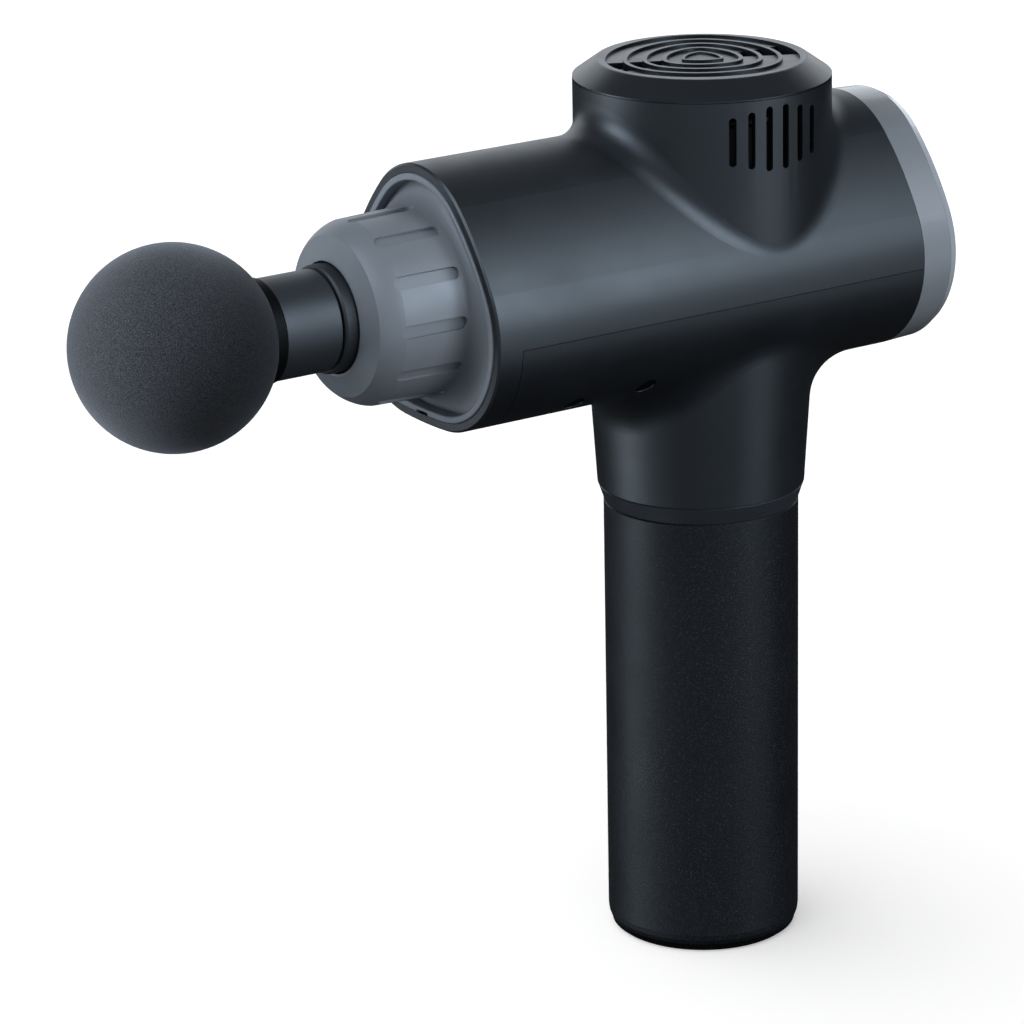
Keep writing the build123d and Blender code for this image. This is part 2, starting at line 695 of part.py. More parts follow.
def rotor_magnets():
    inner, outer = MAGNET_R
    pitch = 360 / MAGNETS
    ring = tube(outer, inner, STATOR_Z[0], STATOR_Z[1])
    gap = box(inner - 2, outer + 1, -0.5, 0.5, STATOR_Z[0] - 1, STATOR_Z[1] + 1)
    for i in range(MAGNETS):
        ring -= Rot(0, 0, i * pitch) * gap
    return group([ring])


def motor_shaft():
    shaft = cyl(SHAFT_R, CRANK_DISC_Z[0], FAN_Z[1])
    return chamfer(shaft.edges().filter_by(GeomType.CIRCLE), 0.3)


def cooling_fan():
    z0, z1 = FAN_Z
    fan = cyl(10.4, z0, z1 - 1.0) + tube(FAN_R, 24.0, z0, z0 + 1.0)
    for i in range(FAN_BLADES):
        blade = Pos(16.8, 0, 0) * Rot(0, 0, 24) * box(-8.6, 8.6, -0.5, 0.5, z0, z1 - 1.0)
        fan += Rot(0, 0, i * 360 / FAN_BLADES) * blade
    return fan - cyl(SHAFT_R, z0 - 1, z1 + 1)


def crank_disc():
    z0, z1 = CRANK_DISC_Z
    disc = cyl(13.0, z0, z1)
    disc -= cyl(SHAFT_R, z0 - 1, z1 + 1)
    return disc - cyl(CRANK_SPIGOT_R, z0 - 1, z1 + 1, -CRANK_R)


def counterweight():
    z0, z1 = CRANK_DISC_Z
    weight = tube(20.0, 13.0, z0, z1)
    return weight & box(3.0, 30, -30, 30, z0, z1)


def crank_pin():
    z0, z1 = CRANK_DISC_Z
    low = AXIS_Z + ROD_T / 2 + PIVOT_GAP
    return cyl(CRANK_PIN_R, low, z0, -CRANK_R) + cyl(CRANK_SPIGOT_R, z0, z1, -CRANK_R)


# ---- rear -----------------------------------------------------------------------------------
def rear_ring():
    front = BARREL_REAR + GAP
    ring = tapered(front, RING_REAR, 0, -RING_TAPER)
    ring -= prism(front - 1, RING_REAR + 1, -WALL - 0.6)
    spigot = prism(front - 4, front + 1, -WALL - GAP) - prism(front - 5, front + 2, -WALL - 1.6)
    return ring + spigot


def rear_cover():
    front = RING_REAR + 0.05
    cover = tapered(front, COVER_REAR, -RING_TAPER, -COVER_EDGE)
    cover -= prism(front - 1, COVER_REAR - 1.6, -WALL - 1.5)
    return cover - prism(front - 1, COVER_REAR + 1, -PANEL_INSET)


def display_panel():
    back = COVER_REAR - 2.4
    panel = prism(back, COVER_REAR - 0.5, -PANEL_INSET - 0.1)
    panel += prism(back, COVER_REAR - 1.65, -PANEL_INSET + 2.0)
    panel -= xcyl(BUTTON_R + 0.3, back - 1, COVER_REAR + 1)
    for y, z in light_places():
        panel -= Pos(COVER_REAR, y, z) * Box(9, LIGHT_W + 0.1, LIGHT_H + 0.1)
    for y, z in REAR_SCREWS:
        panel += xtube(3.0, SCREW_R + RUNNING, BOARD_X + 1.7, back + 0.1, y, z)
    return panel


def light_places():
    for i in range(LIGHTS):
        yield (i - (LIGHTS - 1) / 2) * LIGHT_PITCH, AXIS_Z + LIGHT_RISE


def level_lights():
    rail = Pos(COVER_REAR - 3.4, 0, AXIS_Z + LIGHT_RISE)
    rail = rail * Box(1.8, LIGHT_PITCH * (LIGHTS - 1) + LIGHT_W, LIGHT_H)
    for y, z in light_places():
        rail += Pos(COVER_REAR - 2.0, y, z) * Box(2.9, LIGHT_W, LIGHT_H)
    return rail


def power_button():
    """Round button with a dished face and a skirt behind the panel."""
    face = COVER_REAR - 0.1
    button = xcyl(BUTTON_R, face - 4.2, face)
    button = fillet(button.edges().filter_by(GeomType.CIRCLE).sort_by(Axis.X)[-1], 0.6)
    button += xcyl(BUTTON_R + 1.2, face - 4.2, face - 3.4)
    button += xcyl(1.6, face - 5.4, face - 4.0)
    return button - Pos(face + DISH_R - 0.7, 0, AXIS_Z) * Sphere(DISH_R)


def control_board():
    board = prism(BOARD_X, BOARD_X + 1.6, -WALL - 5.0)
    chip = box(BOARD_X - 1.4, BOARD_X, -6, 6, AXIS_Z - 9, AXIS_Z - 1)
    plug = box(BOARD_X - 5.0, BOARD_X, -4, 4, AXIS_Z - 22, AXIS_Z - 16)
    for y, z in light_places():
        board += box(BOARD_X + 1.6, BOARD_X + 2.4, y - 0.8, y + 0.8, z - 0.6, z + 0.6)
    board += chip + plug
    for y, z in REAR_SCREWS:
        board -= xcyl(SCREW_R + 0.3, BOARD_X - 1, BOARD_X + 3, y, z)
    return board


def button_switch():
    front = BOARD_X + 1.6
    base = box(front, front + 1.8, -3, 3, AXIS_Z - 3, AXIS_Z + 3)
    return base + xcyl(1.7, front + 1.7, COVER_REAR - 5.5 - BUTTON_TRAVEL - 0.1)


def rear_screws():
    parts = []
    for y, z in REAR_SCREWS:
        shank = xcyl(SCREW_R, BOARD_X - 1.0, COVER_REAR - 2.5, y, z)
        head = xcyl(HEAD_R, BOARD_X - 1.0 - HEAD_H, BOARD_X - 1.0, y, z)
        slot = box(BOARD_X - 5, BOARD_X - 1.0 - HEAD_H / 2, y - 1.8, y + 1.8, z - 0.35, z + 0.35)
        parts.append(shank + head - slot)
    return group(parts)


# ---- grip and battery -----------------------------------------------------------------------
def neck_trim_ring():
    inner = GRIP_R - GRIP_WALL - 0.4
    return revolve_z([(GRIP_R - 0.05, GRIP_TOP + GAP), (NECK_R - 0.15, TRIM_TOP - 0.3),
                      (NECK_R - 0.45, TRIM_TOP), (inner, TRIM_TOP), (inner, GRIP_TOP + GAP)])


def grip_sleeve():
    foot = BASE_H + 0.1
    corner = (GRIP_R - 0.6, foot)
    return revolve_z([corner, (GRIP_R - 0.15, foot + 1.2), (GRIP_R, foot + 2.6), (GRIP_R, GRIP_TOP - 0.4),
                      (GRIP_R - 0.4, GRIP_TOP), (GRIP_R - GRIP_WALL, GRIP_TOP), (GRIP_R - GRIP_WALL, foot)])


def base_cap():
    inner = GRIP_R - GRIP_WALL - GAP
    cap = revolve_z([(0, 0), (BASE_R, 0), (BASE_R + 0.9, 0.7), (GRIP_R - 0.7, BASE_H), (inner, BASE_H),
                     (inner, 9.0), (inner - 1.8, 9.0), (inner - 1.8, 3.2), (0, 3.2)])
    cap += cyl(JACK_OUTER, 3.0, 12.0, JACK_X)
    cap -= cyl(JACK_OUTER - 1.0, -1, 13, JACK_X)
    return cap


def charging_socket():
    """Barrel socket flush with the base, closed at its inner end round a centre contact."""
    outer = JACK_OUTER - 1.0 - 0.02
    socket = tube(outer, JACK_BORE, 0.3, 10.5, JACK_X) + cyl(outer, 10.5, 13.5, JACK_X)
    return socket + cyl(1.0, 2.0, 10.6, JACK_X)


def handle_core():
    """Tube that plugs the grip into the neck and carries the battery board."""
    outer = GRIP_R - GRIP_WALL - 0.42 - GAP
    return tube(outer, outer - 1.8, 96.0, 138.0)


def battery_cells():
    cells = []
    for x, y in ring_of(3, CELL_RING, 60):
        can = cyl(CELL_R, CELL_Z, CELL_Z + CELL_L, x, y)
        can = fillet(can.edges().filter_by(GeomType.CIRCLE), 0.8)
        cells.append(can + cyl(3.0, CELL_Z + CELL_L - 0.1, CELL_Z + CELL_L + 0.9, x, y))
    return group(cells)


def cell_holder(z0, z1, recess_z0, recess_z1):
    """Plate with a pocket for each cell and a recess for the straps at the cells' ends."""
    plate = cyl(GRIP_R - GRIP_WALL - 0.3, z0, z1) - cyl(18.5, recess_z0, recess_z1)
    for x, y in ring_of(3, CELL_RING, 60):
        plate -= cyl(CELL_R + RUNNING, z0 - 1, z1 + 1, x, y)
    return plate


def cell_straps():
    top = CELL_Z + CELL_L + 0.9
    parts = []
    spots = list(ring_of(3, CELL_RING, 60))
    for z in (CELL_Z - 0.3, top):
        strap = cyl(3.6, z, z + 0.3, spots[0][0], spots[0][1])
        for x, y in spots[1:]:
            strap += cyl(3.6, z, z + 0.3, x, y)
        for i in (0, 1):
            ax, ay = spots[i]
            bx, by = spots[i + 1]
            length = math.hypot(bx - ax, by - ay)
            turn = math.degrees(math.atan2(by - ay, bx - ax))
            strap += Pos(ax, ay, z) * Rot(0, 0, turn) * box(0, length, -2.5, 2.5, 0, 0.3)
        parts.append(strap)
    return group(parts)


def battery_board():
    board = cyl(19.0, 92.0, 93.6)
    for x, y in ((-8, 6), (4, -9), (9, 7)):
        board += box(x - 3, x + 3, y - 2.2, y + 2.2, 93.6, 95.0)
    return board + box(-6, 6, -4, 2, 93.6, 101.0)


# ---- everything, by name --------------------------------------------------------------------
def build_parts():
    upper, lower = shells()
    top_cell = CELL_Z + CELL_L
    return {
        "upper_shell": upper,
        "lower_cover": lower,
        "vent_cap": vent_cap(),
        "nose_collar": nose_collar(),
        "neck_trim_ring": neck_trim_ring(),
        "grip_sleeve": grip_sleeve(),
        "base_cap": base_cap(),
        "charging_socket": charging_socket(),
        "handle_core": handle_core(),
        "battery_cells": battery_cells(),
        "cell_holder_bottom": cell_holder(CELL_Z - 2.0, CELL_Z + 6.0, CELL_Z - 3, CELL_Z),
        "cell_holder_top": cell_holder(top_cell - 6.0, top_cell + 2.0, top_cell, top_cell + 3),
        "cell_straps": cell_straps(),
        "battery_board": battery_board(),
        "screw_plugs": screw_plugs(),
        "housing_screws": housing_screws(),
        "guide_housing": guide_housing(),
        "guide_screws": guide_screws(),
        "front_bush": bush(SLEEVE_X[0] + 0.2, SLEEVE_X[0] + 12.2),
        "rear_bush": bush(SLEEVE_X[1] - 12.0, SLEEVE_X[1] - 0.2),
        "wiper_seal": wiper_seal(),
        "motor_bracket": motor_bracket(),
        "motor_dampers": motor_dampers(),
        "bracket_screws": bracket_screws(),
        "lower_bearing": bearing(BEARING_R, SHAFT_R + RUNNING, BRACKET_Z[0] + 0.5, BRACKET_Z[0] + 5.5),
        "upper_bearing": bearing(BEARING_R, SHAFT_R + RUNNING, STATOR_Z[1] - 3.5, STATOR_Z[1] + 1.5),
        "stator_core": stator_core(),
        "stator_windings": stator_windings(),
        "rear_ring": rear_ring(),
        "rear_cover": rear_cover(),
        "display_panel": display_panel(),
        "level_lights": level_lights(),
        "control_board": control_board(),
        "button_switch": button_switch(),
        "rear_screws": rear_screws(),
        "power_button": power_button(),
        "rotor_bell": rotor_bell(),
        "rotor_magnets": rotor_magnets(),
        "motor_shaft": motor_shaft(),
        "cooling_fan": cooling_fan(),
        "crank_disc": crank_disc(),
        "counterweight": counterweight(),
        "crank_pin": crank_pin(),
        "plunger": plunger(),
        "socket_liner": socket_liner(),
        "wrist_pin": wrist_pin(),
        "connecting_rod": connecting_rod(),
        "big_end_bearing": big_end_bearing(),
        "small_end_bush": small_end_bush(),
        "massage_ball": massage_ball(),
        "ball_core": ball_core(),
        "head_stem": head_stem(),
        "stem_o_rings": stem_o_rings(),
    }


os.makedirs("parts", exist_ok=True)
for name, shape in build_parts().items():
    export_step(shape, os.path.join("parts", name + ".step"))
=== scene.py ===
"""Massage gun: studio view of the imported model, with procedural materials and a foam ball."""

import json
import math

import bmesh
import bpy
import numpy as np
from mathutils import Matrix, Vector, noise


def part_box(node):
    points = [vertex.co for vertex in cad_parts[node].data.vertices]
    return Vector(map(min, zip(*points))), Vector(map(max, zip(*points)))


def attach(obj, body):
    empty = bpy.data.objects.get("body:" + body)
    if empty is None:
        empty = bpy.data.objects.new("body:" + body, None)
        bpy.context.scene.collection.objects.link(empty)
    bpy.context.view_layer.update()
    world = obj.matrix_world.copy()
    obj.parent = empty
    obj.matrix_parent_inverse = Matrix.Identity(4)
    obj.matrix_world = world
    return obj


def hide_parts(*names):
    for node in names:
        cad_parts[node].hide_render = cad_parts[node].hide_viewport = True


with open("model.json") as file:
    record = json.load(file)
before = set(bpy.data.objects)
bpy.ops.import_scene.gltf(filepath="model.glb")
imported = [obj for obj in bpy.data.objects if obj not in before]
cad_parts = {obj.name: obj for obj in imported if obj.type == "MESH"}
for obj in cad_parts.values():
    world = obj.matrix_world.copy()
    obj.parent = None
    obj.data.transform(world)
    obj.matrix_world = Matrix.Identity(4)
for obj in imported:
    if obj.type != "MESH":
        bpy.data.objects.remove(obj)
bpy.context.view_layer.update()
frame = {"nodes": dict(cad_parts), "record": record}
NODES = frame["nodes"]
SCENE = bpy.context.scene


def add_object(name, data):
    made = bpy.data.objects.new(name, data)
    SCENE.collection.objects.link(made)
    return made


def mesh_from(name, shape):
    """Turns a bmesh into a mesh and frees it."""
    mesh = bpy.data.meshes.new(name)
    shape.to_mesh(mesh)
    shape.free()
    return mesh


# ---- camera: the viewing angle, the lens and where it aims ------------------------------------
VIEW_AZIMUTH = -33.44
VIEW_ELEVATION = 18.24
VIEW_ROLL = -1.14
LENS_MM = 158.4
SENSOR_MM = 36.0
CAMERA_DISTANCE = 1.1937
CAMERA_CLIP = (0.05, 60.0)
AIM_RIGHT = -0.0507
AIM_UP = 0.1067


def camera_axes(azimuth, elevation, roll=0):
    """Right, up and backward directions of a camera that looks at the model from those angles."""
    a, e, r = (math.radians(v) for v in (azimuth, elevation, roll))
    back = Vector((math.sin(a) * math.cos(e), -math.cos(a) * math.cos(e), math.sin(e)))
    right = Vector((math.cos(a), math.sin(a), 0))
    up = back.cross(right)
    rolled_right = right * math.cos(r) + up * math.sin(r)
    rolled_up = up * math.cos(r) - right * math.sin(r)
    return rolled_right, rolled_up, back


def make_camera():
    right, up, back = camera_axes(VIEW_AZIMUTH, VIEW_ELEVATION, VIEW_ROLL)
    data = bpy.data.cameras.new("camera")
    data.lens = LENS_MM
    data.sensor_width = SENSOR_MM
    data.clip_start, data.clip_end = CAMERA_CLIP
    camera = add_object("camera", data)
    turn = Matrix((right, up, back)).transposed().to_4x4()
    place = right * AIM_RIGHT + up * AIM_UP + back * CAMERA_DISTANCE
    camera.matrix_world = Matrix.Translation(place) @ turn
    SCENE.camera = camera


# ---- studio -----------------------------------------------------------------------------------
STUDIO_MIDDLE = Vector((-0.05, 0, 0.15))
COOL = (0.93, 0.98, 1.03)
# name, degrees to the right of the camera, elevation, distance, width, height, brightness, and
# whether it reaches the foam ball too
SOFTBOXES = [
    ("right_key", 54, 23, 1.2, 0.62, 0.74, 10.5, False),
    ("right_low", 62, -14, 1.2, 0.6, 0.45, 1.9, False),
    ("right_side", 74, 34, 1.2, 0.62, 0.62, 1.7, True),
    ("left_high", -62, 34, 1.2, 0.62, 0.62, 10.0, True),
    ("left_low", -84, -8, 1.2, 0.62, 0.75, 5.8, True),
    ("left_back", -115, 4, 1.2, 0.62, 0.62, 0.7, True),
    ("front_left_under", -50, -32, 1.2, 0.62, 0.62, 0.8, False),
    ("front_left", -28, 34, 1.2, 0.62, 0.62, 1.9, True),
    ("top_back", 175, 78, 1.3, 1.4, 1.4, 0.3, True),
    ("front_fill", 4, -6, 1.4, 1.6, 0.9, 0.75, True),
    ("backdrop_glow", 180, 20, 1.6, 2.6, 1.1, 1.5, True),
]
SUN_STRENGTH = 2.7
SUN_WIDTH = 95            # degrees
SUN_TURN = -75
SUN_ELEVATION = 62
FLOOR_GREY = 0.87
FLOOR_GLOW = 0.45         # the part of the floor's light that casts no shadow
FLOOR_HALF = 12.0
FLOOR_DROP = 0.0001       # keeps the floor off the flat face of the base
DOME_R = 11.0
DOME_GLOW = 1.2
WORLD_COLOUR = (0.9, 0.95, 1.0, 1)
WORLD_STRENGTH = 0.02
WHITE = (1, 1, 1, 1)


def light_only(light, objects, state):
    """Restricts a light to some objects, or keeps it off them, by a light linking collection."""
    group = bpy.data.collections.new(light.name + "_" + state.lower())
    for each in objects:
        group.objects.link(each)
    light.light_linking.receiver_collection = group
    for member in group.collection_objects:
        member.light_linking.link_state = state


def make_softbox(floor, ball, name, turn, elevation, distance, width, height, brightness, on_ball):
    data = bpy.data.lights.new(name, "AREA")
    data.shape = "RECTANGLE"
    data.size, data.size_y = width, height
    data.energy = brightness * math.pi * width * height
    data.color = COOL
    light = add_object(name, data)
    outward = camera_axes(VIEW_AZIMUTH + turn, elevation)[2]
    light.location = STUDIO_MIDDLE + outward * distance
    light.rotation_euler = (-outward).to_track_quat("-Z", "Y").to_euler()
    light.visible_camera = False
    light_only(light, [floor] if on_ball else [floor, ball], "EXCLUDE")


def stage_paint(name, grey, glow):
    """A flat grey with no shine that also glows."""
    paint = bpy.data.materials.new(name)
    paint.use_nodes = True
    shader = paint.node_tree.nodes["Principled BSDF"]
    shader.inputs["Base Color"].default_value = (grey, grey, grey, 1)
    shader.inputs["Emission Color"].default_value = WHITE
    shader.inputs["Emission Strength"].default_value = glow
    shader.inputs["Roughness"].default_value = 0.9
    shader.inputs["Specular IOR Level"].default_value = 0.0
    return paint


def show_to_camera_only(piece):
    piece.visible_glossy = False
    piece.visible_diffuse = False
    piece.visible_transmission = False
    piece.visible_shadow = False


def make_floor():
    mesh = bpy.data.meshes.new("floor")
    corners = [(x * FLOOR_HALF, y * FLOOR_HALF, -FLOOR_DROP)
               for x, y in ((-1, -1), (1, -1), (1, 1), (-1, 1))]
    mesh.from_pydata(corners, [], [(0, 1, 2, 3)])
    mesh.materials.append(stage_paint("floor", FLOOR_GREY, FLOOR_GLOW))
    floor = add_object("floor", mesh)
    show_to_camera_only(floor)
    return floor


def make_dome():
    """A white dome, so that the background is pale from low viewpoints too."""
    shell = bmesh.new()
    bmesh.ops.create_uvsphere(shell, u_segments=48, v_segments=24, radius=DOME_R)
    mesh = mesh_from("dome", shell)
    mesh.materials.append(stage_paint("dome", 0.0, DOME_GLOW))
    show_to_camera_only(add_object("dome", mesh))


def make_sun(floor):
    """A broad soft sun that lights the floor alone, so that the floor is white and the shadow soft."""
    data = bpy.data.lights.new("floor_sun", "SUN")
    data.energy = SUN_STRENGTH
    data.angle = math.radians(SUN_WIDTH)
    sun = add_object("floor_sun", data)
    outward = camera_axes(VIEW_AZIMUTH + SUN_TURN, SUN_ELEVATION)[2]
    sun.rotation_euler = (-outward).to_track_quat("-Z", "Y").to_euler()
    light_only(sun, [floor], "INCLUDE")


def make_studio(ball):
    world = bpy.data.worlds.new("studio")
    SCENE.world = world
    world.use_nodes = True
    background = world.node_tree.nodes["Background"]
    background.inputs["Color"].default_value = WORLD_COLOUR
    background.inputs["Strength"].default_value = WORLD_STRENGTH
    floor = make_floor()
    for softbox in SOFTBOXES:
        make_softbox(floor, ball, *softbox)
    make_sun(floor)
    make_dome()
    SCENE.view_settings.view_transform = "Standard"


# ---- materials --------------------------------------------------------------------------------
COOL_SHEEN = (0.74, 0.87, 1.0, 1)
# sockets of a Mix node that is set to colours
MIX_FACTOR = 0
MIX_A = 6
MIX_B = 7
MIX_RESULT = 2


class Paint:
    """A material under construction: the shader, its nodes and the links between them."""

    def __init__(self, name, roughness, metallic=0.0, specular=0.5, **sockets):
        self.material = bpy.data.materials.new(name)
        self.material.use_nodes = True
        self.tree = self.material.node_tree
        self.shader = self.tree.nodes["Principled BSDF"]
        self.place = self.node("ShaderNodeTexCoord").outputs["Object"]
        self.height = None
        self.set("Roughness", roughness)
        self.set("Metallic", metallic)
        self.set("Specular IOR Level", specular)
        for socket, value in sockets.items():
            self.set(socket.replace("_", " "), value)

    def node(self, kind, **settings):
        made = self.tree.nodes.new(kind)
        for key, value in settings.items():
            setattr(made, key, value)
        return made

    def link(self, source, target):
        self.tree.links.new(source, target)

    def set(self, socket, value):
        self.shader.inputs[socket].default_value = value

    def stretched(self, scale):
        """Object coordinates scaled along each axis, for marks that run one way."""
        mapping = self.node("ShaderNodeMapping")
        mapping.inputs["Scale"].default_value = scale
        self.link(self.place, mapping.inputs["Vector"])
        return mapping.outputs["Vector"]

    def noise(self, scale, detail=3.0, rough=0.55, vector=None):
        texture = self.node("ShaderNodeTexNoise")
        texture.inputs["Scale"].default_value = scale
        texture.inputs["Detail"].default_value = detail
        texture.inputs["Roughness"].default_value = rough
        self.link(vector or self.place, texture.inputs["Vector"])
        return texture.outputs["Fac"]

    def cell_edges(self, scale):
        """Distance to the nearest edge of a net of irregular cells."""
        texture = self.node("ShaderNodeTexVoronoi", feature="DISTANCE_TO_EDGE")
        texture.inputs["Scale"].default_value = scale
        self.link(self.place, texture.inputs["Vector"])
        return texture.outputs["Distance"]

    def spread(self, value, low, high, out_low=0.0, out_high=1.0):
        """Maps the range low to high onto out_low to out_high."""
        ramp = self.node("ShaderNodeMapRange")
        ramp.inputs["From Min"].default_value = low
        ramp.inputs["From Max"].default_value = high
        ramp.inputs["To Min"].default_value = out_low
        ramp.inputs["To Max"].default_value = out_high
        self.link(value, ramp.inputs["Value"])
        return ramp.outputs["Result"]

    def colour(self, value, dark, light):
        """Blends the base colour from dark to light by a value from 0 to 1."""
        mix = self.node("ShaderNodeMix", data_type="RGBA")
        mix.inputs[MIX_A].default_value = (*dark, 1)
        mix.inputs[MIX_B].default_value = (*light, 1)
        self.link(value, mix.inputs[MIX_FACTOR])
        self.link(mix.outputs[MIX_RESULT], self.shader.inputs["Base Color"])

    def roughness(self, value, low, high):
        """Varies the roughness between low and high by a noise value."""
        self.link(self.spread(value, 0.3, 0.7, low, high), self.shader.inputs["Roughness"])

    def bump(self, value, strength, depth):
        """Adds a bump layer of depth metres."""
        bump = self.node("ShaderNodeBump")
        bump.inputs["Strength"].default_value = strength
        bump.inputs["Distance"].default_value = depth
        self.link(value, bump.inputs["Height"])
        if self.height is not None:
            self.link(self.height, bump.inputs["Normal"])
        self.height = bump.outputs["Normal"]
        self.link(self.height, self.shader.inputs["Normal"])


def shaded(colour, factor):
    return [channel * factor for channel in colour]


def moulded(name, colour, roughness, grain=2600, depth=0.00002, specular=0.5, variation=0.12,
            **sockets):
    """Injection-moulded or coated plastic with a fine grain and faint uneven gloss."""
    paint = Paint(name, roughness, 0.0, specular, Specular_Tint=COOL_SHEEN, **sockets)
    cloud = paint.spread(paint.noise(28, 4), 0.3, 0.7)
    paint.colour(cloud, shaded(colour, 1 - variation), shaded(colour, 1 + variation))
    paint.roughness(paint.noise(60, 5, 0.65), roughness - 0.04, roughness + 0.04)
    paint.bump(paint.noise(grain, 2), 0.5, depth)
    return paint.material


def speckled_grip():
    """Soft-touch coat with a fine sparkle of lighter specks."""
    paint = Paint("grip_coat", 0.5, 0.0, 0.28, Specular_Tint=COOL_SHEEN)
    specks = paint.spread(paint.noise(2600, 2, 0.6), 0.56, 0.74)
    paint.colour(specks, (0.0016, 0.0018, 0.0022), (0.021, 0.0225, 0.026))
    paint.roughness(paint.noise(45, 4), 0.44, 0.54)
    paint.bump(paint.noise(2100, 3, 0.7), 0.8, 0.00006)
    return paint.material


def foam_skin():
    """Dense closed-cell foam: fine pores, lighter grains and a soft fuzzy edge light."""
    paint = Paint("foam_skin", 0.9, 0.0, 0.25, Sheen_Weight=0.35, Sheen_Roughness=0.5,
                  Sheen_Tint=(0.72, 0.78, 0.88, 1))
    grains = paint.spread(paint.noise(3900, 2, 0.6), 0.40, 0.66)
    paint.colour(grains, (0.011, 0.012, 0.0145), (0.066, 0.0725, 0.0845))
    paint.bump(paint.noise(3600, 2, 0.7), 0.9, 0.00012)
    return paint.material


def elastomer(name, colour, specular):
    """Matte moulded rubber with a very fine grain."""
    paint = Paint(name, 0.5, 0.0, specular, Specular_Tint=COOL_SHEEN)
    cloud = paint.spread(paint.noise(35, 4), 0.3, 0.7)
    paint.colour(cloud, shaded(colour, 0.93), shaded(colour, 1.07))
    paint.roughness(paint.noise(80, 4, 0.6), 0.44, 0.55)
    paint.bump(paint.noise(3000, 2), 0.6, 0.00003)
    return paint.material


def metal(name, colour, roughness, stretch=(1, 1, 40), scale=60):
    """Machined or drawn metal with fine tool marks."""
    paint = Paint(name, roughness, 1.0)
    marks = paint.noise(scale, 5, 0.7, paint.stretched(stretch))
    paint.colour(paint.spread(marks, 0.3, 0.7), shaded(colour, 0.85), colour)
    paint.roughness(marks, roughness - 0.08, roughness + 0.1)
    paint.bump(marks, 0.25, 0.00003)
    return paint.material


def board_laminate():
    """Green solder mask over copper tracks."""
    paint = Paint("board_laminate", 0.35)
    tracks = paint.spread(paint.cell_edges(260), 0.02, 0.06)
    paint.colour(tracks, (0.03, 0.22, 0.09), (0.012, 0.12, 0.05))
    paint.bump(tracks, 0.5, 0.00004)
    return paint.material


def clear_lens():
    """Cloudy light guide in front of a level light."""
    paint = Paint("clear_lens", 0.2, 0.0, 0.5, Transmission_Weight=0.4)
    paint.colour(paint.noise(300, 3), (0.72, 0.8, 0.86), (0.85, 0.92, 0.96))
    paint.bump(paint.noise(900, 2), 0.3, 0.00003)
    return paint.material


def painted_black(paints):
    """The satin and gloss blacks of the body and of what is inside it."""
    shell = (0.0032, 0.0037, 0.0045)
    paints["shell_black"] = moulded("shell_black", shell, 0.43)
    paints["cap_black"] = moulded("cap_black", shell, 0.36, specular=0.45)
    # painted light: the trim is the shell's black made lighter, standing in for light its
    # downward-facing chamfer misses
    paints["trim_black"] = moulded("trim_black", (0.012, 0.0138, 0.017), 0.36, specular=0.8)
    paints["base_gloss"] = moulded("base_gloss", (0.002, 0.0021, 0.0024), 0.14, grain=900,
                                   depth=0.000004, specular=0.25)
    paints["display_gloss"] = moulded("display_gloss", (0.008, 0.009, 0.011), 0.1, grain=500,
                                      depth=0.000003)
    paints["button_black"] = moulded("button_black", (0.024, 0.026, 0.030), 0.45)
    paints["rotor_black"] = moulded("rotor_black", (0.004, 0.004, 0.0045), 0.75, specular=0.15)
    # painted shade in part: the fan is made near-black so that the vent openings read as dark
    paints["fan_black"] = moulded("fan_black", (0.004, 0.004, 0.0045), 0.7, specular=0.2)
    paints["plunger_black"] = moulded("plunger_black", (0.006, 0.0065, 0.008), 0.6)
    paints["stem_black"] = moulded("stem_black", (0.0105, 0.012, 0.0145), 0.5)
    paints["inner_plastic"] = moulded("inner_plastic", (0.045, 0.047, 0.052), 0.5)


def painted_light(paints):
    """Lacquered grey and silver, white bushes and the blue wrap of the cells."""
    paints["ring_grey"] = moulded("ring_grey", (0.122, 0.133, 0.148), 0.38, variation=0.05,
                                  Coat_Weight=0.7, Coat_Roughness=0.2)
    paints["cover_silver"] = moulded("cover_silver", (0.25, 0.27, 0.30), 0.3, variation=0.05,
                                     Coat_Weight=0.7, Coat_Roughness=0.15)
    paints["bush_white"] = moulded("bush_white", (0.68, 0.67, 0.63), 0.4, variation=0.04)
    paints["cell_wrap"] = moulded("cell_wrap", (0.03, 0.14, 0.32), 0.3)


def soft_paints(paints):
    """Grip, foam, rubber and seals."""
    paints["grip_black"] = speckled_grip()
    paints["foam_charcoal"] = foam_skin()
    paints["collar_grey"] = elastomer("collar_grey", (0.103, 0.113, 0.128), specular=0.55)
    # near-black; also the collar at the ball's hole, where it stands for painted shade of the gap
    paints["seal_rubber"] = elastomer("seal_rubber", (0.0016, 0.0018, 0.002), specular=0.06)


def metal_paints(paints):
    """Steel, alloy, copper, brass and magnets of the mechanism."""
    paints["socket_metal"] = metal("socket_metal", (0.62, 0.63, 0.65), 0.3)
    paints["steel"] = metal("steel", (0.58, 0.59, 0.61), 0.3)
    paints["cast_alloy"] = metal("cast_alloy", (0.60, 0.61, 0.63), 0.45, (1, 1, 1), 400)
    paints["laminated_steel"] = metal("laminated_steel", (0.34, 0.35, 0.37), 0.4, (1, 1, 60), 90)
    paints["copper"] = metal("copper", (0.66, 0.27, 0.12), 0.35, (1, 60, 60), 60)
    paints["magnet"] = metal("magnet", (0.44, 0.44, 0.46), 0.35)
    paints["brass_weight"] = metal("brass_weight", (0.66, 0.50, 0.24), 0.32)


def make_paints():
    paints = {"circuit_board": board_laminate(), "light_lens": clear_lens()}
    painted_black(paints)
    painted_light(paints)
    soft_paints(paints)
    metal_paints(paints)
    return paints


def paint_nodes(paints):
    slot_of = {part["node"]: part["material_slot"] for part in frame["record"]["subparts"]}
    for node, piece in NODES.items():
        for slot in piece.material_slots:
            slot.material = paints[slot_of[node]]
        if not piece.material_slots:
            piece.data.materials.append(paints[slot_of[node]])


